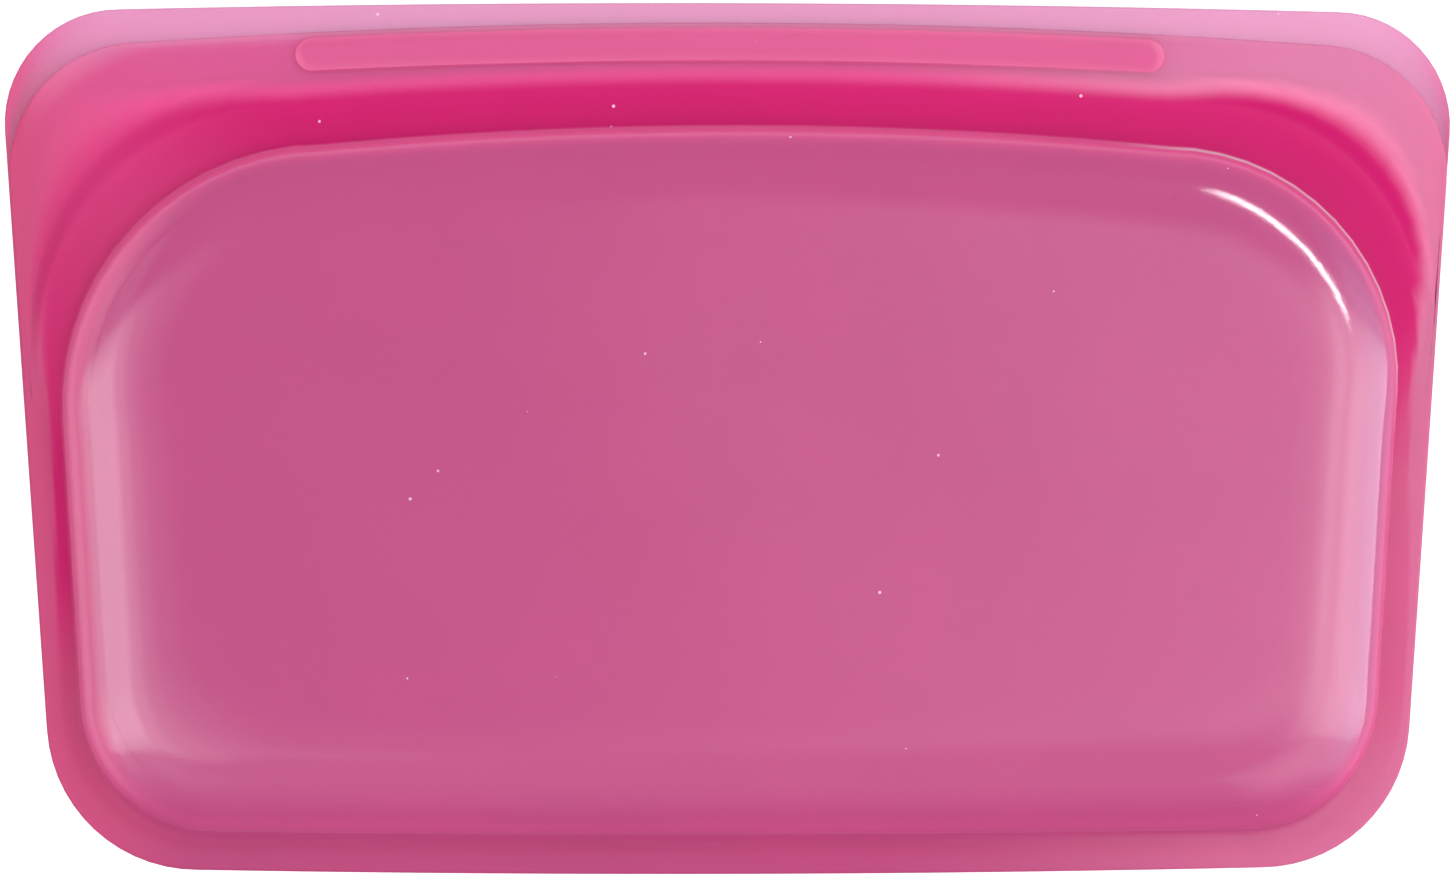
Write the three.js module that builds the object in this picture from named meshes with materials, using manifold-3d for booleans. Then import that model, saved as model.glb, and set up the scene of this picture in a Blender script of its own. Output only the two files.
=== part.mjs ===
// Reusable silicone snack bag, lying on its back, mouth towards +Y and front face up.
// Two moulded silicone halves are bonded round the sides and the bottom. Above the bond the front
// half lifts away from the back half, and a press-together seal holds the two shut. Each half ends
// in a thin lip with a moulded grip bar. The front half is divided where it folds.
import * as THREE from "three";
import { mergeVertices } from "three/addons/utils/BufferGeometryUtils.js";
import Module from "manifold-3d";

const wasm = await Module();
wasm.setup();

// Driving dimensions, in millimetres.
const BAG_HEIGHT = 114.7;
const PARTING_Z = 10; // plane between the halves, above the surface the bag lies on
const CLEARANCE = 0.3; // between neighbouring pieces
const RIM = 1.45; // thickness of a half's flat rim and lip
const WALL = 1.3; // thickness of the pocket's wall
const POCKET_RISE = 8.4; // from the rim's outer face to the pocket's flat face
const SHOULDER = 9; // width of the pocket's rounded shoulder
const FOLD_Y = 12; // where the front half folds as the bag opens, level with the seal's ends
const LIP_FOLD_Y = 46.65; // where a lip bends away, just beyond the seal's ridge
const SHOULDER_STEPS = 5;
const CURVE_STEPS = 6; // segments in a bowed edge, and half those in a rounded corner

const TOP_Y = BAG_HEIGHT / 2;
const RIM_IN = CLEARANCE / 2; // a rim's faces, measured outwards from the parting plane
const RIM_OUT = RIM_IN + RIM;
const POCKET_OUT = RIM_OUT + POCKET_RISE;

// Outlines: y of the top and bottom edges at the corners, half-widths there, corner radii,
// and how far each edge bows outwards at its middle.
const BACK_OUTLINE = {
  top: TOP_Y - 1, bottom: -TOP_Y + 0.7, halfTop: 96.4, halfBottom: 88.5,
  radiusTop: 15, radiusBottom: 19.7, bowTop: 1, bowBottom: 0.7,
};
const FRONT_OUTLINE = {
  top: TOP_Y - 5.4, bottom: -TOP_Y + 1.4, halfTop: 95.6, halfBottom: 88,
  radiusTop: 17, radiusBottom: 19.2, bowTop: 2.75, bowBottom: 0.7,
};
const POCKET_OUTLINE = {
  top: 38.4, bottom: -51.4, halfTop: 87.9, halfBottom: 84.2,
  radiusTop: 30, radiusBottom: 15.5, bowTop: 2.6, bowBottom: 0.5,
};
const SEAL_LINE = {
  top: 41.1, bottom: -53.6, halfTop: 91.4, halfBottom: 86.2,
  radiusTop: 29, radiusBottom: 17.6, bowTop: 2.4, bowBottom: 0.5,
};

// Seal profile: half-widths, and depths measured outwards from the parting plane.
const CHANNEL = { half: 1.55, out: 2.6, grooveMouth: 1.05, grooveTaper: 0.45, grooveDepth: 1.6 };
const TONGUE = { half: 1.5, out: 1.3, ribHalf: 0.75, ribTaper: 0.45, ribTip: 1.4 };
const RIDGE = { half: 2.6, chamfer: 0.6, cover: 1 };
const SEAL_TAIL = 8; // how far the ridges and the end stops' recesses run below the fold

// Grip bars, one behind the other: size, how far the top edge is below the front lip's edge, and
// how far the bar bows upwards at its middle.
const GRIP = { length: 115, height: 4.8, thick: 1, edge: 0.4, inset: 0.5, bow: 1.4 };

const WELD = { half: 1.2, out: 0.5 }; // bonding bead round the sides and the bottom
const FAR = 300; // larger than the bag, for cutting slabs

const SILICONE = { roughness: 0.35, metalness: 0, transparent: true, opacity: 0.85 };
const pocketSilicone = new THREE.MeshStandardMaterial({ ...SILICONE, color: 0xc2578a });
const rimSilicone = new THREE.MeshStandardMaterial({ ...SILICONE, color: 0xe0619c, roughness: 0.5 });
const sealSilicone = new THREE.MeshStandardMaterial({ ...SILICONE, color: 0xd0266f, roughness: 0.45 });

// A trapezoid with rounded corners and bowed top and bottom edges, grown outwards by offset.
function outline(dims, offset = 0) {
  const slope = (dims.halfTop - dims.halfBottom) / (dims.top - dims.bottom);
  const sideAngle = Math.atan(slope);
  const sideShift = offset / Math.cos(sideAngle);
  const top = dims.top + offset;
  const bottom = dims.bottom - offset;
  const sideX = (y) => dims.halfBottom + slope * (y - dims.bottom) + sideShift;
  const topR = dims.radiusTop + offset;
  const bottomR = dims.radiusBottom + offset;
  const topCentre = new THREE.Vector2(sideX(top - topR) - topR / Math.cos(sideAngle), top - topR);
  const bottomCentre = new THREE.Vector2(
    sideX(bottom + bottomR) - bottomR / Math.cos(sideAngle), bottom + bottomR);
  const shape = new THREE.Shape();
  shape.moveTo(-bottomCentre.x, bottom);
  shape.quadraticCurveTo(0, bottom - 2 * dims.bowBottom, bottomCentre.x, bottom);
  shape.absarc(bottomCentre.x, bottomCentre.y, bottomR, -Math.PI / 2, -sideAngle, false);
  shape.absarc(topCentre.x, topCentre.y, topR, -sideAngle, Math.PI / 2, false);
  shape.quadraticCurveTo(0, top + 2 * dims.bowTop, -topCentre.x, top);
  shape.absarc(-topCentre.x, topCentre.y, topR, Math.PI / 2, Math.PI + sideAngle, false);
  shape.absarc(-bottomCentre.x, bottomCentre.y, bottomR, Math.PI + sideAngle, 1.5 * Math.PI, false);
  return shape;
}

// The strip within half of a line that runs round the bag.
function band(dims, half) {
  const shape = outline(dims, half);
  shape.holes.push(outline(dims, -half));
  return shape;
}

function solidFrom(geometry) {
  const bare = geometry.clone();
  bare.deleteAttribute("normal");
  bare.deleteAttribute("uv");
  const merged = mergeVertices(bare, 1e-4);
  return new wasm.Manifold(new wasm.Mesh({
    numProp: 3,
    vertProperties: merged.attributes.position.array,
    triVerts: new Uint32Array(merged.index.array),
  }));
}

function slab(low, high) {
  const size = new THREE.Vector3().subVectors(high, low);
  const box = new THREE.BoxGeometry(size.x, size.y, size.z);
  return solidFrom(box.translate(...low.clone().addScaledVector(size, 0.5).toArray()));
}

const between = (lowY, highY) =>
  slab(new THREE.Vector3(-FAR, lowY, -FAR), new THREE.Vector3(FAR, highY, FAR));

// A shape extruded from low to high, then narrowed by run as it rises a further rise.
function raised(shape, low, high, { rise = 0, run = 0, steps = 1 } = {}) {
  const geometry = new THREE.ExtrudeGeometry(shape, {
    depth: high - low, curveSegments: CURVE_STEPS, bevelEnabled: rise > 0,
    bevelThickness: rise, bevelSize: run, bevelOffset: -run, bevelSegments: steps,
  }).translate(0, 0, low);
  const solid = solidFrom(geometry);
  if (!rise) return solid;
  return solid.intersect(slab(new THREE.Vector3(-FAR, -FAR, low), new THREE.Vector3(FAR, FAR, FAR)));
}

// One moulded half, from the parting plane outwards, before it is divided at its folds.
function mouldedHalf(dims, sealPart) {
  const recessHalf = sealPart.half + CLEARANCE;
  const recessOut = sealPart.out + CLEARANCE;
  const ridgeOut = recessOut + RIDGE.cover;
  const sealStart = between(FOLD_Y - SEAL_TAIL, FAR);
  const weldStart = between(-FAR, FOLD_Y - SEAL_TAIL);
  const plate = raised(outline(dims), RIM_IN, RIM_OUT);
  const pocket = raised(outline(POCKET_OUTLINE), RIM_IN, RIM_OUT,
    { rise: POCKET_RISE, run: SHOULDER, steps: SHOULDER_STEPS });
  const cavity = raised(outline(POCKET_OUTLINE, -WALL), -RIM_OUT, RIM_OUT,
    { rise: POCKET_RISE - WALL, run: SHOULDER - WALL, steps: SHOULDER_STEPS });
  const ridge = raised(band(SEAL_LINE, RIDGE.half), RIM_IN, ridgeOut - RIDGE.chamfer,
    { rise: RIDGE.chamfer, run: RIDGE.chamfer }).intersect(sealStart);
  const recess = raised(band(SEAL_LINE, recessHalf), -RIM_OUT, recessOut)
    .intersect(between(FOLD_Y - SEAL_TAIL + RIDGE.cover, FAR));
  const weldRecess = raised(band(SEAL_LINE, WELD.half + CLEARANCE), -RIM_OUT, WELD.out + CLEARANCE)
    .intersect(weldStart);
  return plate.add(pocket).add(ridge).subtract(cavity).subtract(recess).subtract(weldRecess);
}

// The stretches of a half, from the mouth downwards, with half a clearance at each division.
const LIP_ZONE = between(LIP_FOLD_Y + CLEARANCE / 2, FAR);
const FLAP_ZONE = between(FOLD_Y + CLEARANCE / 2, LIP_FOLD_Y - CLEARANCE / 2);
const WALL_ZONE = between(-FAR, FOLD_Y - CLEARANCE / 2);
const BACK_ZONE = between(-FAR, LIP_FOLD_Y - CLEARANCE / 2);
const SEAL_ZONE = between(FOLD_Y + CLEARANCE / 2, FAR);

function sealChannel() {
  const bar = raised(band(SEAL_LINE, CHANNEL.half), RIM_IN, CHANNEL.out);
  const groove = raised(band(SEAL_LINE, CHANNEL.grooveMouth), -RIM_OUT, RIM_IN,
    { rise: CHANNEL.grooveDepth, run: CHANNEL.grooveTaper });
  return bar.subtract(groove).intersect(SEAL_ZONE);
}

// The rib stands across the parting plane, so it is made pointing outwards and turned over.
function sealTongue() {
  const base = raised(band(SEAL_LINE, TONGUE.half), RIM_IN, TONGUE.out);
  const ribHeight = TONGUE.ribTip + RIM_IN;
  const rib = raised(band(SEAL_LINE, TONGUE.ribHalf), -0.5, 0,
    { rise: ribHeight, run: TONGUE.ribTaper });
  const turned = rib.getMesh();
  const geometry = geometryFrom(turned).rotateY(Math.PI).translate(0, 0, RIM_IN);
  return base.add(solidFrom(geometry)).intersect(SEAL_ZONE);
}

// A long bar with round ends, bowed like the front lip, its outer edges chamfered.
function gripBar() {
  const r = GRIP.height / 2;
  const endX = GRIP.length / 2 - r;
  const midY = FRONT_OUTLINE.top + FRONT_OUTLINE.bowTop - GRIP.inset - GRIP.bow - r;
  const shape = new THREE.Shape();
  shape.moveTo(-endX, midY - r);
  shape.quadraticCurveTo(0, midY + 2 * GRIP.bow - r, endX, midY - r);
  shape.absarc(endX, midY, r, -Math.PI / 2, Math.PI / 2, false);
  shape.quadraticCurveTo(0, midY + 2 * GRIP.bow + r, -endX, midY + r);
  shape.absarc(-endX, midY, r, Math.PI / 2, 1.5 * Math.PI, false);
  const foot = RIM_OUT + CLEARANCE;
  return raised(shape, foot, foot + GRIP.thick - GRIP.edge, { rise: GRIP.edge, run: GRIP.edge });
}

// The bonding bead lies between the rims, astride the parting plane.
function weldBead() {
  return raised(band(SEAL_LINE, WELD.half), -WELD.out, WELD.out)
    .intersect(between(-FAR, FOLD_Y - SEAL_TAIL - CLEARANCE));
}

// Solid silicone plugs that close the seal's two ends, joining both halves.
function sealEndStop(side) {
  const low = side > 0 ? 0 : -FAR;
  const high = side > 0 ? FAR : 0;
  const sideSlab = slab(new THREE.Vector3(low, -FAR, -FAR), new THREE.Vector3(high, FAR, FAR));
  return raised(band(SEAL_LINE, TONGUE.half), -TONGUE.out, CHANNEL.out)
    .intersect(between(FOLD_Y - SEAL_TAIL + RIDGE.cover + CLEARANCE, FOLD_Y - CLEARANCE))
    .intersect(sideSlab);
}

function geometryFrom(mesh) {
  const geometry = new THREE.BufferGeometry();
  const positions = new Float32Array(mesh.numVert * 3);
  for (let i = 0; i < mesh.numVert; i++)
    positions.set(mesh.vertProperties.subarray(i * mesh.numProp, i * mesh.numProp + 3), i * 3);
  geometry.setAttribute("position", new THREE.BufferAttribute(positions, 3));
  geometry.setIndex(new THREE.BufferAttribute(mesh.triVerts, 1));
  return geometry;
}

function piece(name, solid, material) {
  const geometry = geometryFrom(solid.getMesh());
  geometry.computeVertexNormals();
  const mesh = new THREE.Mesh(geometry, material);
  mesh.name = name;
  return mesh;
}

const frontHalf = mouldedHalf(FRONT_OUTLINE, CHANNEL);
const backHalf = mouldedHalf(BACK_OUTLINE, TONGUE);

const front = new THREE.Group();
front.add(
  piece("front_wall", frontHalf.intersect(WALL_ZONE), pocketSilicone),
  piece("front_flap", frontHalf.intersect(FLAP_ZONE), pocketSilicone),
  piece("front_lip", frontHalf.intersect(LIP_ZONE), rimSilicone),
  piece("seal_channel", sealChannel(), sealSilicone),
  piece("front_grip_bar", gripBar(), rimSilicone),
);

const back = new THREE.Group();
back.rotation.y = Math.PI; // turned over, so that its pocket faces down
back.add(
  piece("back_half", backHalf.intersect(BACK_ZONE), pocketSilicone),
  piece("back_lip", backHalf.intersect(LIP_ZONE), rimSilicone),
  piece("seal_tongue", sealTongue(), sealSilicone),
  piece("back_grip_bar", gripBar(), rimSilicone),
);

const bond = new THREE.Group();
bond.add(
  piece("edge_weld", weldBead(), sealSilicone),
  piece("seal_end_stop_left", sealEndStop(-1), sealSilicone),
  piece("seal_end_stop_right", sealEndStop(1), sealSilicone),
);

const bag = new THREE.Group();
bag.position.z = PARTING_Z;
bag.add(front, back, bond);

export default bag;
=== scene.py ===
"""A reusable silicone bag: two translucent moulded halves, a press seal and lips with grip bars.

Outlines and sections are in millimetres, measured outwards from the plane where the halves meet.
mesh_object() turns them into metres in the row frame.
"""

import math

import bmesh
import bpy
import numpy as np
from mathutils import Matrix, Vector


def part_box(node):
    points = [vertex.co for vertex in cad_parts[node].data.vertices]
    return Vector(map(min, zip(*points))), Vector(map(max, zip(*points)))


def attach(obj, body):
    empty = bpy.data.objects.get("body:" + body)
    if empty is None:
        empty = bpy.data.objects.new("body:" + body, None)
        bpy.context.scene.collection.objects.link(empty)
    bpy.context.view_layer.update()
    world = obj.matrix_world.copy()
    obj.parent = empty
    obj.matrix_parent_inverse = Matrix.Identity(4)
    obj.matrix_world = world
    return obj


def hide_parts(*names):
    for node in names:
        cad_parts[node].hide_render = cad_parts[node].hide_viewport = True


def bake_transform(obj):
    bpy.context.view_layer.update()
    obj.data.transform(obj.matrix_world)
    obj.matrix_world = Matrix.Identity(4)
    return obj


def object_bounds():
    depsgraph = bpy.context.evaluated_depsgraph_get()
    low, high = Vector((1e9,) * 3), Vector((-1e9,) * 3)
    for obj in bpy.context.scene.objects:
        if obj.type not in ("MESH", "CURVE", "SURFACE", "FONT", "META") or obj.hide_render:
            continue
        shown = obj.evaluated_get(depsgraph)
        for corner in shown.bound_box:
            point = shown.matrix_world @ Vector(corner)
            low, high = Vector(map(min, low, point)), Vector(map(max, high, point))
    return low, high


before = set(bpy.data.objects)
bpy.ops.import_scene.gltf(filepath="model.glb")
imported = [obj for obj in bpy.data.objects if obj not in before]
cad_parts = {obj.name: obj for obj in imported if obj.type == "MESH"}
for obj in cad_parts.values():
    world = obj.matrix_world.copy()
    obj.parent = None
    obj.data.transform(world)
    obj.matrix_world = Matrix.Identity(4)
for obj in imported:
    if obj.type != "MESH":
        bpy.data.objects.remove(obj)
cad_low, cad_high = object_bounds()

MM = 0.001


def box_mm(node):
    """Lowest and highest corner of a CAD node, in millimetres."""
    low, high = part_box(node)
    return np.array(low) / MM, np.array(high) / MM


# ---------------------------------------------------------------- sizes, from the frame
BACK_LOW, BACK_HIGH = box_mm("back_half")
BACK_TOP_Y = box_mm("back_lip")[1][1]
FRONT_TOP_Y = box_mm("front_lip")[1][1]
WELD_LOW, WELD_HIGH = box_mm("edge_weld")
PARTING_Z = (WELD_LOW[2] + WELD_HIGH[2]) / 2
POCKET_OUT = box_mm("front_wall")[1][2] - PARTING_Z
RIM_OUT = box_mm("front_lip")[1][2] - PARTING_Z
GRIP_OUT = RIM_OUT + 0.25  # a bar stands just proud of its lip
RIDGE_OUT = 2.8
LIP_FOLD_Y = BACK_HIGH[1] + 0.15
SEAL_END_Y = box_mm("seal_channel")[0][1]
STOP_LOW_Y, STOP_HIGH_Y = (corner[1] for corner in box_mm("seal_end_stop_left"))

RIM_IN = 0.04  # half the gap left between the two halves
EDGE_RADIUS = 0.35
WALL = 1.3
SHOULDER = 14.5  # from the pocket's edge to where its face is flat
ROUNDNESS = 2.6  # of the shoulder, where 2 would be an ellipse
LOW_POWER = 0.62  # how gently it starts along the bottom, where 1 / ROUNDNESS is the usual
CREST_OUT = 2.6  # from the seal's line out to the ridge's crest, along the mouth
FOOT_OUT = 6.4  # and to its foot
SIDE_CREST_OUT = 0.6  # the same two where the ridge runs down the sides
SIDE_FOOT_OUT = 2.0
SIDE_BAND = 2.7  # width of the deep band along the sides
PALE_EDGE = 3.4  # width of the front lip's pale edge
FILLET = 0.55  # at the shoulder's foot
LOW_FILLET = 1.8  # the same along the bottom, where the shoulder runs out softly
LINE_INSET = 3.6  # from the pocket's edge to a fine darker line in the band's colour inside its left side
SHOULDER_INSETS = (
    0.0, 0.06, 0.15, 0.3, 0.5, 0.8, 1.2, 1.7, 2.3, 2.8, LINE_INSET - 0.2, LINE_INSET,
    LINE_INSET + 0.2, 4.6, 5.6, 6.6, 8.0, 9.6, 11.4, SHOULDER,
)
INNER_INSETS = (11.0, 8.0, 6.0, 4.4, 3.2, 2.4, 1.9, 1.6)  # the same inside the pocket
ROUND_STEPS = np.radians([0, 30, 60, 90])  # of the small radius round an edge

# Outlines: y of the top and bottom edges at the corners, half-widths there, corner radii, bows,
# and the radius at the top left where it differs. lip is the colour of a half's lip; the next key
# says how far painted light from the right turns its rim pale at its right end, pale_edge how far
# its lip turns pale towards its edge, and inside is the optical depth of its inner face.
BACK_OUTLINE = dict(
    top=BACK_TOP_Y - 1.0, bottom=BACK_LOW[1] + 0.7, half_top=96.4, half_bottom=88.5,
    radius_top=15, radius_bottom=19.7, bow_top=1.0, bow_bottom=0.7,
    lip=np.array((0.80, 0.17, 0.40)), painted_light_right=0.2, pale_edge=0.0, inside=5.0,
)
FRONT_OUTLINE = dict(
    top=FRONT_TOP_Y - 2.75, bottom=BACK_LOW[1] + 0.75, half_top=95.9, half_bottom=88.45,
    radius_top=17, radius_bottom=19.7, bow_top=2.75, bow_bottom=0.7,
    lip=np.array((0.94, 0.115, 0.36)), painted_light_right=0.8, pale_edge=0.8, inside=1.0,
)
POCKET_OUTLINE = dict(
    top=38.4, bottom=-51.4, half_top=89.8, half_bottom=84.3,
    radius_top=30.5, radius_left=34, radius_bottom=17.5, bow_top=2.6, bow_bottom=0.5,
)
SEAL_LINE = dict(
    top=41.1, bottom=-53.6, half_top=91.9, half_bottom=86.2,
    radius_top=29, radius_left=32.5, radius_bottom=19, bow_top=2.4, bow_bottom=0.5,
)
POCKET_MIDDLE = np.array([0, (POCKET_OUTLINE["top"] + POCKET_OUTLINE["bottom"]) / 2])
COUNTS = dict(edge=40, corner=14, side=26)  # points along each part of an outline

# Where the deep band changes at its corners, and where the right one catches the light: x and y
HAZY_CORNER = (-86, 30)
BROAD_CORNER = (84, 34)
GLINT_CORNER = (79, 30)
CORNER_REACH = 30
GLINT_REACH = 16

# The seal's two strips, the bond and the end plugs: half-widths, and heights from the parting plane
CHANNEL = dict(half=1.55, out=2.2, mouth=1.05, floor=0.6, deep=1.6)
TONGUE = dict(half=1.5, out=1.3, root=0.75, tip=0.3, height=1.25)
WELD_BEAD = dict(half=1.1, out=0.3)
END_PLUG = dict(half=1.5, out=1.3)
GROOVE_GAP = 0.05  # round a strip in its moulding, to each side
GROOVE_ROOM = 0.1  # and above it
GROOVE_FLARE = 0.15
STRIP_RADIUS = 0.18
BEAD_RADIUS = 0.3
GRIP = dict(length=115, height=4.8, inset=0.5, bow=1.4)

# ---------------------------------------------------------------- sizes, from the frame
DEPTH = dict(lip=2.8, flange=8.0, band=12.0, pocket=8.0, bar=10.0)
GLOSS = dict(rim=0.0, bar=0.3, inside=0.6, pocket=1.0)
BAND_COLOUR = np.array((0.62, 0.004, 0.155))
POCKET_COLOUR = np.array((0.575, 0.07, 0.245))
PALE_PAINTED_LIGHT_COLOUR = np.array((0.98, 0.34, 0.54))  # painted light where a lip's right end is lit from the right, and the pale of a lip's edge
FLANGE_COLOUR = np.array((0.53, 0.07, 0.215))  # of the rim where the halves are bonded
LEFT_LIT_FLANGE_COLOUR = np.array((0.65, 0.08, 0.225))  # painted light: the flange is painted lighter at its left end, where more light falls
FOOT_GLOW_COLOUR = np.array((0.95, 0.11, 0.36))  # painted glow at the shoulder's foot, standing in for light through the silicone there
WALL_SHEEN_COLOUR = np.array((0.55, 0.135, 0.345))  # painted sheen, paler and bluer, on the shoulder at the right side
LEFT_WALL_GLOW_COLOUR = np.array((0.97, 0.23, 0.43))  # and painted glow, lighter still, at the left side
BAR_COLOUR = np.array((0.70, 0.098, 0.295))
# painted highlight along the bar's soft edges
BAR_EDGE_HIGHLIGHT_COLOUR = np.array((0.76, 0.14, 0.335))
GLINT_COLOUR = np.array((1.0, 0.75, 0.85))  # of the light line at GLINT_CORNER


# ---------------------------------------------------------------- curves
def smooth(t):
    """0 below 0, 1 above 1, and a smooth step between."""
    t = np.clip(t, 0.0, 1.0)
    return t * t * (3 - 2 * t)


def step(value, low, high):
    """0 below low, 1 above high, and a smooth step between."""
    return smooth((value - low) / (high - low))


def bowed(start, end, y, bow, count):
    """An edge from start to end in x, bowed in y at its middle."""
    x = np.linspace(start, end, count, endpoint=False)
    middle, half = (start + end) / 2, abs(end - start) / 2
    return np.column_stack([x, y + bow * (1 - ((x - middle) / half) ** 2)])


def arc(centre, radius, start, end, count):
    """Points on a circular arc, without its last one."""
    angle = np.linspace(start, end, count, endpoint=False)
    return np.column_stack(
        [centre[0] + radius * np.cos(angle), centre[1] + radius * np.sin(angle)]
    )


def outline(dims, offset=0.0):
    """A rounded trapezoid with bowed top and bottom, grown outwards by offset, anticlockwise."""
    slope = (dims["half_top"] - dims["half_bottom"]) / (dims["top"] - dims["bottom"])
    tilt = math.atan(slope)
    top, bottom = dims["top"] + offset, dims["bottom"] - offset
    edge, corner, side = COUNTS["edge"], COUNTS["corner"], COUNTS["side"]

    def centre_of(y, radius):
        """Centre of the right-hand corner that is at y."""
        x = dims["half_bottom"] + slope * (y - dims["bottom"]) + (offset - radius) / math.cos(tilt)
        return x, y

    def right_side(top_r, bottom_r):
        """The right side with its corners, and the x where the top and bottom edges meet them."""
        high, low = centre_of(top - top_r, top_r), centre_of(bottom + bottom_r, bottom_r)
        right_low = arc(low, bottom_r, -math.pi / 2, -tilt, corner)
        right_high = arc(high, top_r, -tilt, math.pi / 2, corner)
        start = np.array([low[0] + bottom_r * math.cos(tilt), low[1] - bottom_r * math.sin(tilt)])
        straight = start + (right_high[0] - start) * (np.arange(side)[:, None] / side)
        return np.vstack([right_low, straight, right_high]), high[0], low[0]

    bottom_r = dims["radius_bottom"] + offset
    right, high_x, low_x = right_side(dims["radius_top"] + offset, bottom_r)
    left, left_x, _ = right_side(dims.get("radius_left", dims["radius_top"]) + offset, bottom_r)
    bottom_edge = bowed(-low_x, low_x, bottom, -dims["bow_bottom"], edge)
    top_edge = bowed(high_x, -left_x, top, dims["bow_top"], edge)
    left = np.vstack([left[1:], [[left_x, top]]])[::-1] * [-1, 1]
    return np.vstack([bottom_edge, right, top_edge, left])


def pocket_curve(inset):
    """The pocket's outline moved in by inset, with its lower corners kept round."""
    dims = dict(POCKET_OUTLINE, radius_bottom=POCKET_OUTLINE["radius_bottom"] + 0.8 * inset)
    return outline(dims, -inset)


def mixed(a, b, t):
    """What is a share t of the way from a to b, for curves and for colours."""
    return a + (b - a) * (t[:, None] if np.ndim(t) else t)


# ---------------------------------------------------------------- meshes
def mesh_object(name, points, faces, layers=None, colour=None):
    """A smooth mesh from points in millimetres, with named numbers and a colour on its points."""
    mesh = bpy.data.meshes.new(name)
    mesh.from_pydata((np.asarray(points) * MM).tolist(), [], faces)
    for layer, values in (layers or {}).items():
        made = mesh.attributes.new(layer, "FLOAT", "POINT")
        made.data.foreach_set("value", np.asarray(values, np.float32))
    if colour is not None:
        values = np.column_stack([colour, np.ones(len(colour))]).astype(np.float32)
        made = mesh.attributes.new("colour", "FLOAT_COLOR", "POINT")
        made.data.foreach_set("color", values.ravel())
    obj = bpy.data.objects.new(name, mesh)
    bpy.context.scene.collection.objects.link(obj)
    with_bmesh(obj, lambda bm: bmesh.ops.recalc_face_normals(bm, faces=bm.faces))
    mesh.shade_smooth()
    return obj


def with_bmesh(obj, edit):
    """Runs an edit on an object's mesh."""
    bm = bmesh.new()
    bm.from_mesh(obj.data)
    edit(bm)
    bm.to_mesh(obj.data)
    bm.free()


def bridge(a, b, size):
    """Quads between the ring that starts at point a and the ring that starts at point b."""
    faces = []
    for j in range(size):
        k = (j + 1) % size
        faces.append((a + j, a + k, b + k, b + j))
    return faces


def tube_faces(ring_count, size, first=0, joined=False):
    """Quads between rings from point first on, and from the last to the first where joined."""
    starts = [first + i * size for i in range(ring_count)]
    following = starts[1:] + starts[:1] if joined else starts[1:]
    faces = []
    for a, b in zip(starts, following):
        faces += bridge(a, b, size)
    return faces


def cut(obj, y, keep_above, cap):
    """Cuts a piece at y, keeps one side of it, and closes the cut where cap is true."""

    def edit(bm):
        made = bmesh.ops.bisect_plane(
            bm, geom=[*bm.verts, *bm.edges, *bm.faces], dist=1e-7,
            plane_co=(0, y * MM, 0), plane_no=(0, 1, 0),
            clear_inner=keep_above, clear_outer=not keep_above,
        )
        if cap:
            rim = [e for e in made["geom_cut"] if isinstance(e, bmesh.types.BMEdge)]
            bmesh.ops.holes_fill(bm, edges=[e for e in rim if e.is_boundary], sides=0)

    with_bmesh(obj, edit)
    obj.data.shade_smooth()
    return obj


# ---------------------------------------------------------------- the moulded halves
def ridge_share(y):
    """How fully the seal's ridge stands at y: none at the sides' welds, whole round the mouth."""
    return step(y, 2, 18)


def ring(curve, z, depth, gloss, colour):
    """One ring of a skin: its points, and their optical depth, gloss and colour."""
    flat = 0 * curve[:, 1]
    return np.column_stack([curve, z + flat]), depth + flat, gloss + flat, colour + flat[:, None]


def apart(a, b):
    """Distance between the matching points of two curves."""
    return np.linalg.norm(a - b, axis=1)


def side_share():
    """0 along the mouth and 1 at the bonded sides; it starts higher on the left."""
    seal_x, seal_y = outline(SEAL_LINE).T
    left = step(-seal_x, 0, 60)
    return 1 - smooth((seal_y - 6 - 14 * left) / (38 - 13 * left))


def rim_look(dims, curve):
    """Optical depth and colour of a half's rim and lip on a curve."""
    lip = outline(dims, -EDGE_RADIUS)
    lip_x = lip[:, 0]
    at_side = side_share()
    depth = DEPTH["lip"] + (DEPTH["flange"] - DEPTH["lip"]) * at_side
    # painted light: the rim is painted paler towards its right end, where light falls from the
    # right
    right = dims["painted_light_right"] * (1 - 0.55 * at_side) * step(lip_x, 15, 90)
    edge = dims["pale_edge"] * (1 - at_side) * (1 - smooth(apart(curve, lip) / PALE_EDGE))
    # painted light: the flange turns lighter towards its left end
    side = mixed(FLANGE_COLOUR + 0 * lip[:, :1], LEFT_LIT_FLANGE_COLOUR, step(-lip_x, 70, 85))
    colour = mixed(dims["lip"], side, at_side)
    return depth, mixed(colour, PALE_PAINTED_LIGHT_COLOUR, np.maximum(right, edge))


def near(x, y, corner, reach):
    """1 at a corner, falling to 0 at a reach away from it."""
    return smooth(1 - np.hypot(x - corner[0], y - corner[1]) / reach)


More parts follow.
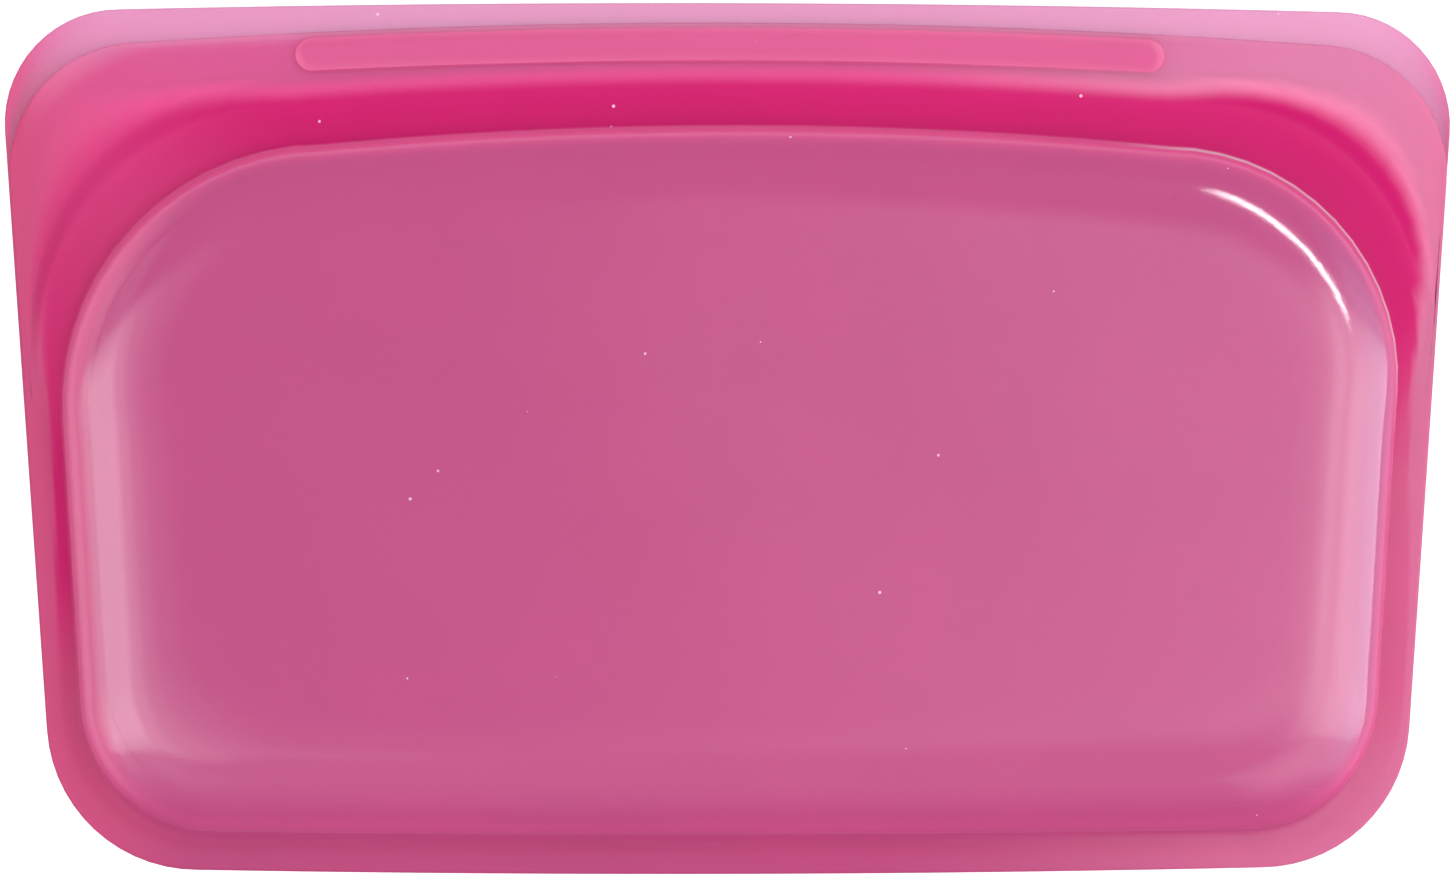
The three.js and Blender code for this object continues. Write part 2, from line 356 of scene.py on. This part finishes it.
def band_share(curve, spread):
    """How far a curve's points are in the deep band round the pocket, which fades over spread."""
    seal_x, seal_y = outline(SEAL_LINE).T
    pocket = outline(POCKET_OUTLINE)
    crest = apart(outline(SEAL_LINE, CREST_OUT), pocket)
    foot = apart(outline(SEAL_LINE, FOOT_OUT), pocket)
    wide = step(seal_y, 12, 40)
    side_band = SIDE_BAND + 0.5 * np.sign(seal_x)
    hazy = near(seal_x, seal_y, HAZY_CORNER, CORNER_REACH)  # the band fades at its left corner
    broad = near(seal_x, seal_y, BROAD_CORNER, CORNER_REACH)  # and is broader at its right one
    reach = side_band + (crest - side_band) * wide + 3.2 * broad + 3 * hazy
    fade = 1.2 + (foot - crest - 1.2) * wide + 2.5 * broad + 9 * hazy
    full = (1 - 0.4 * hazy) * (1 - smooth((apart(curve, pocket) - reach) / fade / spread))
    fade_y = -10 + 16 * np.sign(seal_x)  # the band runs further down the left side
    faint = 0.05 + 0.28 * step(seal_x, 0, 60) * step(seal_y, -46, -32)
    return full * (faint + (1 - faint) * smooth((seal_y - fade_y + 12) / 24))


def narrowing(y):
    """How wide the seal's strips are at y, as a share: they thin out towards their ends."""
    return 0.5 + 0.5 * step(y, 10, 32)


def low_share():
    """1 along the pocket's bottom edge, where its shoulder starts softly, and 0 elsewhere."""
    return step(-outline(POCKET_OUTLINE)[:, 1], 43, 51)


def shoulder_height(inset):
    """Height of the pocket's shoulder above its foot, as a share, at an inset from its edge."""
    power = 1 / ROUNDNESS + (LOW_POWER - 1 / ROUNDNESS) * low_share()
    return (1 - (1 - min(inset / SHOULDER, 1.0)) ** ROUNDNESS) ** power


def foot_curve(share):
    """The pocket's outline, grown by a share of the fillet at its shoulder's foot."""
    usual = outline(POCKET_OUTLINE, FILLET * share)
    return mixed(usual, outline(POCKET_OUTLINE, LOW_FILLET * share), low_share())


def rim_rings(edge_dims, ridge_z):
    """Rings from the parting plane at a half's edge over its lip and ridge to the pocket's foot."""
    rings = []

    def add(curve, z):
        """Adds one ring, with the look of the rim and of the deep band."""
        depth, colour = rim_look(edge_dims, curve)
        deeper = band_share(curve, 1.0)
        colour = mixed(colour, BAND_COLOUR, band_share(curve, 0.64))
        depth = depth + (DEPTH["band"] - depth) * deeper
        rings.append(ring(curve, z, depth, GLOSS["rim"], colour))

    for angle in ROUND_STEPS:
        inset = EDGE_RADIUS * (1 - math.sin(angle))
        add(outline(edge_dims, -inset), RIM_IN + EDGE_RADIUS * (1 - math.cos(angle)))
    for angle in ROUND_STEPS:
        inset = EDGE_RADIUS * (1 - math.cos(angle))
        add(outline(edge_dims, -inset), RIM_OUT - EDGE_RADIUS * (1 - math.sin(angle)))
    lip = outline(edge_dims, -EDGE_RADIUS)
    wide = step(outline(SEAL_LINE)[:, 1], 4, 38)
    foot = mixed(outline(SEAL_LINE, SIDE_FOOT_OUT), outline(SEAL_LINE, FOOT_OUT), wide)
    crest = mixed(outline(SEAL_LINE, SIDE_CREST_OUT), outline(SEAL_LINE, CREST_OUT), wide)
    for t in np.linspace(0, 1, 9)[1:]:
        add(mixed(lip, foot, t), RIM_OUT)
    for t in np.linspace(0, 1, 10)[1:]:
        add(mixed(foot, crest, t), RIM_OUT + (ridge_z - RIM_OUT) * smooth(t))
    for t in np.linspace(0, 1, 5)[1:]:
        add(mixed(crest, foot_curve(1.0), t), ridge_z)
    return rings


def shoulder_rings(rim, ridge_z):
    """Rings from the rim's last one through a small fillet and up the pocket's shoulder."""
    edge_x, edge_y = outline(POCKET_OUTLINE).T
    low = low_share()
    side = 1 - step(np.abs(edge_y + 8), 30, 44)
    left = side * (edge_x < 0)
    glint_apart = np.hypot(edge_x - GLINT_CORNER[0], edge_y - GLINT_CORNER[1])
    glint = smooth(2 - glint_apart / GLINT_REACH)
    # painted glow at the shoulder's foot: less of it along the bottom, and some of the left wall's
    # glow on the left
    foot_glow = mixed(FOOT_GLOW_COLOUR, mixed(POCKET_COLOUR, FOOT_GLOW_COLOUR, 0.3), low)
    foot_glow = mixed(foot_glow, LEFT_WALL_GLOW_COLOUR, 0.2 * left)
    # painted light on the shoulder: a sheen painted on its right side and a glow on its left
    wall = mixed(mixed(POCKET_COLOUR, WALL_SHEEN_COLOUR, side), LEFT_WALL_GLOW_COLOUR, left)
    fillet = FILLET + (LOW_FILLET - FILLET) * low
    _, rim_depth, _, rim_colour = rim
    rings = []
    for angle in np.radians([15, 30, 45, 60, 75]):
        z = ridge_z + fillet * (1 - math.cos(angle))
        into = float(smooth(angle - 0.3))
        depth = rim_depth + (DEPTH["pocket"] - rim_depth) * into
        colour = mixed(rim_colour, foot_glow, into)
        rings.append(ring(foot_curve(1 - math.sin(angle)), z, depth, GLOSS["rim"], colour))
    for inset in SHOULDER_INSETS:
        z = ridge_z + fillet + (POCKET_OUT - ridge_z - fillet) * shoulder_height(inset)
        colour = mixed(foot_glow, wall, float(smooth(inset / 3)))
        up = smooth((inset - 1) / (3 + 3 * (side - left)))
        colour = mixed(colour, POCKET_COLOUR + 0 * colour, up)
        # a fine darker line in the band's colour along the shoulder's left side
        colour = mixed(colour, BAND_COLOUR, 0.5 * left * (inset == LINE_INSET))
        colour = mixed(colour, GLINT_COLOUR, 0.9 * glint * (inset < 0.4))
        polish = float(smooth(inset - 0.2)) * (1 - low * (1 - float(smooth(inset / 7))))
        rings.append(ring(pocket_curve(inset), z, DEPTH["pocket"], polish, colour))
    return rings


def outer_rings(edge_dims):
    """Rings over a half's outer face, from the parting plane at its edge to the pocket's middle."""
    ridge_z = RIM_OUT + (RIDGE_OUT - RIM_OUT) * ridge_share(outline(SEAL_LINE)[:, 1])
    rings = rim_rings(edge_dims, ridge_z)
    rings += shoulder_rings(rings[-1], ridge_z)
    face = pocket_curve(SHOULDER)
    for t in np.linspace(0, 1, 15)[1:-1]:
        curve = POCKET_MIDDLE + (face - POCKET_MIDDLE) * (1 - t)
        rings.append(ring(curve, POCKET_OUT, DEPTH["pocket"], GLOSS["pocket"], POCKET_COLOUR))
    return rings


def groove_for(strip):
    """Half-width and depth of the groove that holds one of the seal's strips."""
    return strip["half"] + GROOVE_GAP, strip["out"] + GROOVE_ROOM


def inner_rings(edge_dims, groove):
    """Rings over a half's inner face, from the pocket's middle out to its edge."""
    rings = []
    inside = POCKET_OUT - WALL
    thin = edge_dims["inside"]
    ceiling = pocket_curve(SHOULDER)
    for t in np.linspace(0, 1, 11)[1:]:
        curve = POCKET_MIDDLE + (ceiling - POCKET_MIDDLE) * t
        rings.append(ring(curve, inside, thin, GLOSS["inside"], POCKET_COLOUR))
    for inset in INNER_INSETS:
        z = RIM_OUT + (inside - RIM_OUT) * shoulder_height(inset - WALL)
        rings.append(ring(pocket_curve(inset), z, thin, GLOSS["inside"], POCKET_COLOUR))
    for inset, z in ((WALL, 0.5), (WALL - 0.3, RIM_IN)):
        curve = outline(POCKET_OUTLINE, -inset)
        rings.append(ring(curve, z, thin, GLOSS["rim"], POCKET_COLOUR))
    half, out = groove
    line = outline(SEAL_LINE)
    seal_y = line[:, 1]
    floor_z = RIM_IN + (out - RIM_IN) * smooth((seal_y - SEAL_END_Y + 3) / 3)
    share = narrowing(seal_y)
    wide = half + GROOVE_FLARE
    for offset, z in ((-wide, RIM_IN), (-half, floor_z), (half, floor_z), (wide, RIM_IN)):
        curve = mixed(line, outline(SEAL_LINE, offset), share)
        rings.append(ring(curve, z, thin, GLOSS["rim"], BAND_COLOUR))
    foot = outline(SEAL_LINE, half + 0.5)
    lip = outline(edge_dims, -EDGE_RADIUS)
    for t in np.linspace(0, 1, 10)[:-1]:
        curve = mixed(foot, lip, t)
        depth, colour = rim_look(edge_dims, curve)
        rings.append(ring(curve, RIM_IN, np.minimum(depth, DEPTH["lip"]), GLOSS["rim"], colour))
    return rings


def softened(points):
    """The small unevenness of a soft wall: the pocket's face sinks a little in its middle."""
    x, y, z = points.T
    over = np.clip((z - RIM_OUT - 4) / (POCKET_OUT - RIM_OUT - 4), 0, 1)
    sink = 0.55 * np.clip(1 - (x / 80) ** 2, 0, 1) * np.clip(1 - ((y + 6) / 40) ** 2, 0, 1)
    ripple = 0.05 * np.sin(x / 9 + 1.2 * np.sin(y / 17)) * np.cos(y / 23)
    return np.column_stack([x, y, z - over * (sink + ripple)])


def moulded_half(name, edge_dims, groove, facing):
    """One half of the bag, closed all over; facing is 1 for the front and -1 for the back."""
    outer = outer_rings(edge_dims)
    rings = outer + inner_rings(edge_dims, groove)
    size = len(rings[0][0])
    points, depth, gloss, colour = (np.concatenate([made[i] for made in rings]) for i in range(4))
    outer_end, inner_start = (len(outer) - 1) * size, len(outer) * size
    faces = tube_faces(len(outer), size)
    faces += tube_faces(len(rings) - len(outer), size, inner_start)
    faces += bridge((len(rings) - 1) * size, 0, size)
    top, under = len(points), len(points) + 1
    middles = [[*POCKET_MIDDLE, POCKET_OUT], [*POCKET_MIDDLE, POCKET_OUT - WALL]]
    points = np.vstack([points, middles])
    depth = np.append(depth, [DEPTH["pocket"], edge_dims["inside"]])
    gloss = np.append(gloss, [GLOSS["pocket"], GLOSS["inside"]])
    colour = np.vstack([colour, POCKET_COLOUR, POCKET_COLOUR])
    for j in range(size):
        k = (j + 1) % size
        faces.append((outer_end + j, outer_end + k, top))
        faces.append((inner_start + k, inner_start + j, under))
    if facing > 0:
        points = softened(points)
    points[:, 2] = PARTING_Z + facing * points[:, 2]
    return mesh_object(name, points, faces, {"depth": depth, "gloss": gloss}, colour)


def copy_of(obj, name):
    """A second object with its own copy of the mesh."""
    twin = obj.copy()
    twin.data = obj.data.copy()
    twin.name = twin.data.name = name
    bpy.context.scene.collection.objects.link(twin)
    return twin


# ---------------------------------------------------------------- pieces round the seal
def rounded_section(points, radius, steps=3):
    """A closed section with its corners rounded off."""
    points = [np.array(p, float) for p in points]
    made = []
    for i, corner in enumerate(points):
        before, after = points[i - 1], points[(i + 1) % len(points)]
        start = corner + (before - corner) * min(0.45, radius / np.linalg.norm(before - corner))
        end = corner + (after - corner) * min(0.45, radius / np.linalg.norm(after - corner))
        for t in np.linspace(0, 1, steps + 1):
            made.append((1 - t) ** 2 * start + 2 * t * (1 - t) * corner + t * t * end)
    return np.array(made)


def seal_loop(name, section, facing=1):
    """A section carried all the way round the seal's line; it is cut to length afterwards."""
    line = outline(SEAL_LINE)
    share = narrowing(line[:, 1])
    curves = []
    for offset, z in section:
        curve = mixed(line, outline(SEAL_LINE, offset), share)
        curves.append(np.column_stack([curve, np.full(len(line), PARTING_Z + facing * z)]))
    faces = tube_faces(len(curves), len(line), joined=True)
    return mesh_object(name, np.vstack(curves), faces)


def box_section(half, out):
    """A section that is as tall below the parting plane as above it."""
    return [(-half, -out), (half, -out), (half, out), (-half, out)]


def seal_channel():
    """The strip with a groove, round the front half's mouth."""
    c = CHANNEL
    section = [
        (-c["half"], RIM_IN), (-c["mouth"], RIM_IN), (-c["floor"], c["deep"]),
        (c["floor"], c["deep"]), (c["mouth"], RIM_IN), (c["half"], RIM_IN),
        (c["half"], c["out"]), (-c["half"], c["out"]),
    ]
    obj = seal_loop("seal_channel_strip", rounded_section(section, STRIP_RADIUS))
    return cut(obj, SEAL_END_Y, keep_above=True, cap=True)


def seal_tongue():
    """The strip that presses into the channel, round the back half's mouth."""
    t = TONGUE
    section = [
        (-t["half"], t["out"]), (-t["half"], RIM_IN), (-t["root"], RIM_IN),
        (-t["tip"], -t["height"]), (t["tip"], -t["height"]), (t["root"], RIM_IN),
        (t["half"], RIM_IN), (t["half"], t["out"]),
    ]
    obj = seal_loop("seal_tongue_strip", rounded_section(section, STRIP_RADIUS), -1)
    return cut(obj, SEAL_END_Y, keep_above=True, cap=True)


def weld_bead():
    """The bond between the halves, down both sides and along the bottom."""
    section = rounded_section(box_section(**WELD_BEAD), BEAD_RADIUS)
    obj = seal_loop("edge_weld_bead", section)
    return cut(obj, WELD_HIGH[1], keep_above=False, cap=True)


def end_stop(side):
    """The plug at one end of the seal; side is 1 for the right and -1 for the left."""
    section = rounded_section(box_section(**END_PLUG), BEAD_RADIUS)
    name = "seal_end_stop_" + ("right" if side > 0 else "left") + "_plug"
    obj = seal_loop(name, section)
    cut(obj, STOP_LOW_Y, keep_above=True, cap=True)
    cut(obj, STOP_HIGH_Y, keep_above=False, cap=True)

    def keep_side(bm):
        other = [v for v in bm.verts if v.co.x * side < 0]
        bmesh.ops.delete(bm, geom=other, context="VERTS")

    with_bmesh(obj, keep_side)
    return obj


# ---------------------------------------------------------------- grip bars
def grip_bar(name, facing):
    """A long low bar with round ends and soft edges, near the top of a lip and bowed with it."""
    half_height = GRIP["height"] / 2
    bow = GRIP["bow"]
    end_x = GRIP["length"] / 2 - half_height
    lip_top = FRONT_OUTLINE["top"] + FRONT_OUTLINE["bow_top"]
    mid_y = lip_top - GRIP["inset"] - bow - half_height

    def around(inset):
        """The bar's outline, moved in by inset."""
        r = half_height - inset
        right = arc((end_x, mid_y), r, -math.pi / 2, math.pi / 2, 18)
        left = arc((-end_x, mid_y), r, math.pi / 2, 1.5 * math.pi, 18)
        low = bowed(-end_x, end_x, mid_y - r, bow, 60)
        high = bowed(end_x, -end_x, mid_y + r, bow, 60)
        return np.vstack([low, right, high, left])

    foot = RIM_OUT - 0.03  # a bar is one with its lip, so its underside is inside it
    levels = [(1.6, 0), (0.3, 0)] + [(1.5 * t, t) for t in np.linspace(0, 1, 8)] + [(1.9, 1)]
    rings = []
    for inset, rise in levels:
        z = PARTING_Z + facing * (foot + (GRIP_OUT - foot) * smooth(rise))
        # painted highlight: the bar's edges are lighter than its top
        tone = mixed(BAR_EDGE_HIGHLIGHT_COLOUR, BAR_COLOUR, float(smooth(rise)))
        rings.append(ring(around(inset), z, DEPTH["bar"], GLOSS["bar"], tone))
    points, depth, gloss, colour = (np.concatenate([made[i] for made in rings]) for i in range(4))
    size = len(rings[0][0])
    faces = tube_faces(len(rings), size)
    faces.append(tuple(range(size)))
    faces.append(tuple(range((len(rings) - 1) * size, len(rings) * size)))
    return mesh_object(name, points, faces, {"depth": depth, "gloss": gloss}, colour)


# ---------------------------------------------------------------- materials
class Shader:
    """Adds nodes to one material, and links them."""

    def __init__(self, name):
        self.material = bpy.data.materials.new(name)
        self.material.use_nodes = True
        self.tree = self.material.node_tree
        self.tree.nodes.clear()

    def add(self, kind, settings=None, **inputs):
        """A node; inputs are sockets by name, with _ for a space, or by number as i0, i1, i2."""
        node = self.tree.nodes.new(kind)
        for key, value in (settings or {}).items():
            setattr(node, key, value)
        for key, value in inputs.items():
            socket = int(key[1:]) if key[0] == "i" else key.replace("_", " ")
            self.put(node.inputs[socket], value)
        return node

    def put(self, socket, value):
        """Links an output to a socket, or sets the socket to a plain value."""
        if isinstance(value, bpy.types.NodeSocket):
            self.tree.links.new(value, socket)
        else:
            socket.default_value = value

    def math(self, operation, a, b=0.0, c=0.0):
        """The result of one operation on up to three numbers."""
        return self.add("ShaderNodeMath", {"operation": operation}, i0=a, i1=b, i2=c).outputs[0]

    def attribute(self, name, output="Fac"):
        """What a mesh holds on its points under a name."""
        return self.add("ShaderNodeAttribute", {"attribute_name": name}).outputs[output]

    def colour_mix(self, factor, a, b):
        """A colour a share of the way from a to b, which is plain where the share is a number."""
        if isinstance(factor, float):
            return tuple(start + (end - start) * factor for start, end in zip(a, b))
        node = self.add("ShaderNodeMix", {"data_type": "RGBA"})
        for socket, value in zip((node.inputs[0], node.inputs[6], node.inputs[7]), (factor, a, b)):
            self.put(socket, value)
        return node.outputs[2]

    def output(self, surface):
        """The finished material, with this surface."""
        self.tree.links.new(surface, self.add("ShaderNodeOutputMaterial").inputs[0])
        return self.material


SILICONE_IOR = 1.41
GLOW_SHARE = 0.4  # of the silicone's own colour that comes from light behind it
WHITE = (1, 1, 1, 1)
TINT = (0.62, 0.62, 0.72, 1)  # of what is seen through a thick place
TINT_PER_DEPTH = 0.6
COVER_PER_DEPTH = 0.17
SATIN = 0.42  # roughness where the gloss is 0
POLISH = 0.11  # and where it is 1
SATIN_SHINE = 0.15  # how much a satin surface mirrors, as a share of what a polished one does
MIRROR_LIMIT = 0.13  # at glancing angles, where a soft matt skin mirrors less than glass does
SPECK = (1.0, 0.62, 0.78, 1)
SPECK_COVER = 0.6
SPECK_SCALE = 260.0  # cells to a metre, of which the share above SPECK_CHANCE holds a grain
SPECK_CHANCE = 0.75
SPECK_SIZE = 0.25
DRIFT_SHARE = 0.2  # how much the silicone's cover varies over several centimetres
CLOUD_SHARE = 0.1  # and over about one
LEAST_COVER = 0.85


def specks(s, coords):
    """A share that is 1 on a few tiny grains of dust and 0 elsewhere."""
    cells = s.add("ShaderNodeTexVoronoi", Vector=coords, Scale=SPECK_SCALE)
    chance = s.add("ShaderNodeSeparateColor", i0=cells.outputs["Color"]).outputs[0]
    size = s.math("MULTIPLY", s.math("SUBTRACT", chance, SPECK_CHANCE), SPECK_SIZE)
    return s.math("LESS_THAN", cells.outputs["Distance"], size)


def share_of(s, deep, rate):
    """1 - exp(-rate * depth): how much of its full effect a depth of silicone has."""
    if isinstance(deep, float):
        return 1 - math.exp(-rate * deep)
    return s.math("SUBTRACT", 1.0, s.math("EXPONENT", s.math("MULTIPLY", deep, -rate)))


def between(s, low, high, share):
    """The number a share of the way from low to high, which is plain where the share is."""
    if isinstance(share, float):
        return low + (high - low) * share
    return s.math("MULTIPLY_ADD", share, high - low, low)


def silicone(name, depth=None, gloss=None, colour=None):
    """Translucent pink silicone: thin places let the light behind through, thick ones don't.

    A depth, gloss or colour that isn't given is read from the mesh's points.
    """
    s = Shader(name)
    coords = s.add("ShaderNodeTexCoord").outputs["Object"]
    deep = s.attribute("depth") if depth is None else depth
    shine = s.attribute("gloss") if gloss is None else gloss
    own = s.attribute("colour", "Color") if colour is None else (*colour, 1)

    cover = share_of(s, deep, COVER_PER_DEPTH)
    drift = s.add("ShaderNodeTexNoise", Vector=coords, Scale=16.0, Detail=2.0).outputs["Fac"]
    cloud = s.add("ShaderNodeTexNoise", Vector=coords, Scale=70.0, Detail=3.0).outputs["Fac"]
    uneven = s.math("MULTIPLY_ADD", cloud, CLOUD_SHARE, LEAST_COVER)
    uneven = s.math("MULTIPLY_ADD", drift, DRIFT_SHARE, uneven)
    cover = s.math("MULTIPLY", cover, uneven)
    dust = specks(s, coords)
    cover = s.math("MAXIMUM", cover, s.math("MULTIPLY", dust, SPECK_COVER))

    grain = s.add("ShaderNodeTexNoise", Vector=coords, Scale=2600.0, Detail=2.0).outputs["Fac"]
    bump = s.add("ShaderNodeBump", Strength=0.12, Distance=0.00008, Height=grain)
    rough = between(s, SATIN, POLISH, shine)

    tint = s.colour_mix(share_of(s, deep, TINT_PER_DEPTH), WHITE, TINT)
    through = s.add("ShaderNodeBsdfTransparent", Color=tint)
    own = s.colour_mix(dust, own, SPECK)
    lit = s.add(
        "ShaderNodeBsdfPrincipled",
        Base_Color=own, Roughness=0.6, Specular_IOR_Level=0.0, Normal=bump.outputs[0],
        Sheen_Weight=0.2, Sheen_Roughness=0.35, Sheen_Tint=SPECK,
    )
    glow = s.add("ShaderNodeBsdfTranslucent", Color=own, Normal=bump.outputs[0])
    body = s.add("ShaderNodeMixShader", i0=GLOW_SHARE, i1=lit.outputs[0], i2=glow.outputs[0])
    mass = s.add("ShaderNodeMixShader", i0=cover, i1=through.outputs[0], i2=body.outputs[0])
    skin = s.add("ShaderNodeBsdfGlossy", Color=WHITE, Roughness=rough, Normal=bump.outputs[0])
    fresnel = s.add("ShaderNodeFresnel", IOR=SILICONE_IOR, Normal=bump.outputs[0]).outputs[0]
    mirror = s.math("MULTIPLY", fresnel, between(s, SATIN_SHINE, 1, shine))
    mirror = s.math("MINIMUM", mirror, MIRROR_LIMIT)
    mix = s.add("ShaderNodeMixShader", i0=mirror, i1=mass.outputs[0], i2=skin.outputs[0])
    return s.output(mix.outputs[0])


def floor_material():
    """A white floor that lights itself, so that it stays pale under the bag."""
    s = Shader("pale_floor")
    body = s.add(
        "ShaderNodeBsdfPrincipled", Base_Color=(0.3, 0.3, 0.3, 1), Roughness=0.9,
        Emission_Color=WHITE, Emission_Strength=0.9,
    )
    return s.output(body.outputs[0])


def paint(obj, material):
    """Gives an object one material."""
    obj.data.materials.clear()
    obj.data.materials.append(material)


# ---------------------------------------------------------------- the bag
moulded_silicone = silicone("moulded_silicone")
seal_silicone = silicone("seal_silicone", depth=3.0, gloss=0.0, colour=BAND_COLOUR)


def in_front_mouth(obj):
    """Bakes the placement of a piece at the front half's mouth into its mesh."""
    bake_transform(obj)


def in_lip(obj):
    """Bakes the placement of a lip's piece into its mesh."""
    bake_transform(obj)


def half_pieces(side, edge_dims, strip, facing):
    """The moulded skin, the lip and the grip bar of the half called side."""
    skin = moulded_half(f"{side}_moulding", edge_dims, groove_for(strip), facing)
    lip = copy_of(skin, f"{side}_lip_sheet")
    cut(lip, LIP_FOLD_Y, keep_above=True, cap=False)
    cut(skin, LIP_FOLD_Y, keep_above=False, cap=False)
    bar = grip_bar(f"{side}_lip_bar", facing)
    for piece in (skin, lip, bar):
        paint(piece, moulded_silicone)
    return skin, lip, bar


def add_front():
    """The half with the channel, which folds open, and its lip and bar."""
    skin, lip, bar = half_pieces("front", FRONT_OUTLINE, CHANNEL, 1)
    channel = seal_channel()
    paint(channel, seal_silicone)
    in_front_mouth(skin)
    in_front_mouth(channel)
    in_lip(lip)
    in_lip(bar)
    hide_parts("front_wall", "front_flap")
    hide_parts("front_lip")
    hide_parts("front_grip_bar")
    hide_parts("seal_channel")


def add_back():
    """The half with the tongue, which lies on the floor, and its lip and bar."""
    skin, lip, bar = half_pieces("back", BACK_OUTLINE, TONGUE, -1)
    tongue = seal_tongue()
    paint(tongue, seal_silicone)
    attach(skin, "pouch")
    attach(tongue, "pouch")
    in_lip(lip)
    in_lip(bar)
    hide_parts("back_half")
    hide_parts("back_lip")
    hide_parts("back_grip_bar")
    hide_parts("seal_tongue")


def add_bond():
    """What joins the halves: the weld and the plugs at the seal's ends."""
    pieces = {
        "edge_weld": weld_bead(),
        "seal_end_stop_left": end_stop(-1),
        "seal_end_stop_right": end_stop(1),
    }
    for node, piece in pieces.items():
        paint(piece, seal_silicone)
        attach(piece, "pouch")
        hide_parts(node)


# ---------------------------------------------------------------- floor, light and camera
FLOOR_HALF = 4.0
FLOOR_GAP = 0.0003  # below the bag, so that no faces lie in one plane
WORLD_LIGHT = 0.9
FIRST_PANE_AWAY = 1.0  # each window's first pane; the others stand behind it, a step apart
PANE_STEP = 0.05

# Panes of light: azimuth, lowest and highest elevation and spread, in degrees, then radiance.
CEILING = (0, 50, 110, 80, 2.45)
BACK_RIGHT_STRIP = (40, 56.3, 58.7, 26, 70.0)
# Each window is a stack of panes of several sizes, so that it fades at its edges.
WINDOWS = dict(
    left=(
        (194, 32, 62, 28, 2.1), (190, 30, 64, 72, 1.1), (194, 23, 71, 40, 2.0),
        (196, 16, 78, 40, 1.2), (196, 9, 85, 36, 1.0), (225, 28, 62, 40, 0.5),
    ),
    right=(
        (352, 3, 69, 34, 2.3), (345, 3, 60, 60, 1.1), (340, 3, 54, 84, 0.8),
        (352, 3, 73, 30, 1.2), (353, 3, 78, 22, 0.9), (354, 3, 82, 16, 0.7),
        (0, 62, 85, 12, 0.5), (0, 62, 87, 16, 0.5), (0, 62, 89, 22, 0.5), (325, 16, 62, 46, 1.3),
    ),
    near=((270, 26, 86, 60, 0.35), (270, 26, 80, 80, 0.3)),
)

VIEW_WIDTH = 0.1913  # how much of the parting plane the camera sees across
CAMERA_DISTANCE = 1.3
CAMERA_YAW = math.radians(3)  # it looks from slightly left of straight above
CAMERA_TARGET = Vector((-0.0005, -0.0006, PARTING_Z * MM))
SENSOR = 0.036


def add_floor():
    """A wide floor just under the bag."""
    mesh = bpy.data.meshes.new("floor")
    half = FLOOR_HALF
    corners = [(-half, -half, 0), (half, -half, 0), (half, half, 0), (-half, half, 0)]
    mesh.from_pydata(corners, [], [(0, 1, 2, 3)])
    floor = bpy.data.objects.new("floor", mesh)
    floor.location.z = cad_low.z - FLOOR_GAP
    bpy.context.scene.collection.objects.link(floor)
    paint(floor, floor_material())


def add_softbox(name, pane, mirrored, distance):
    """A rectangle of light from one elevation to another, as seen from the bag.

    Azimuths turn from +X towards +Y. A mirrored one is only seen in the gloss; any other one
    only lights the silicone.
    """
    azimuth, low, high, spread, radiance = pane
    turn, climb = math.radians(azimuth), math.radians((low + high) / 2)
    flat = math.cos(climb)
    away = Vector((flat * math.cos(turn), flat * math.sin(turn), math.sin(climb)))
    light = bpy.data.lights.new(name, "AREA")
    light.shape = "RECTANGLE"
    light.size = 2 * distance * math.tan(math.radians(spread / 2))
    light.size_y = 2 * distance * math.tan(math.radians((high - low) / 2))
    light.energy = radiance * math.pi * light.size * light.size_y
    obj = bpy.data.objects.new(name, light)
    obj.location = away * distance
    obj.rotation_euler = away.to_track_quat("Z", "Y").to_euler()
    obj.visible_camera = False
    obj.visible_diffuse = not mirrored
    obj.visible_glossy = mirrored
    bpy.context.scene.collection.objects.link(obj)


def add_light():
    """An even white room, a ceiling light, and windows and a strip for the gloss."""
    world = bpy.data.worlds.new("studio")
    world.use_nodes = True
    background = world.node_tree.nodes["Background"]
    background.inputs[0].default_value = WHITE
    background.inputs[1].default_value = WORLD_LIGHT
    bpy.context.scene.world = world
    add_softbox("ceiling", CEILING, mirrored=False, distance=0.75)
    for side, panes in WINDOWS.items():
        for i, pane in enumerate(panes):
            distance = FIRST_PANE_AWAY + PANE_STEP * i
            add_softbox(f"{side}_pane_{i}", pane, mirrored=True, distance=distance)
    add_softbox("back_right_strip", BACK_RIGHT_STRIP, mirrored=True, distance=1.5)


def add_camera():
    """A long lens almost straight above the bag."""
    data = bpy.data.cameras.new("camera")
    data.sensor_width = SENSOR / MM
    data.lens = SENSOR / MM * CAMERA_DISTANCE / VIEW_WIDTH
    camera = bpy.data.objects.new("camera", data)
    towards = Vector((-math.sin(CAMERA_YAW), 0, math.cos(CAMERA_YAW)))
    camera.location = CAMERA_TARGET + CAMERA_DISTANCE * towards
    camera.rotation_euler = (0, -CAMERA_YAW, 0)
    bpy.context.scene.collection.objects.link(camera)
    bpy.context.scene.camera = camera


add_front()
add_back()
add_bond()
add_floor()
add_light()
add_camera()
bpy.context.scene.view_settings.view_transform = "Standard"
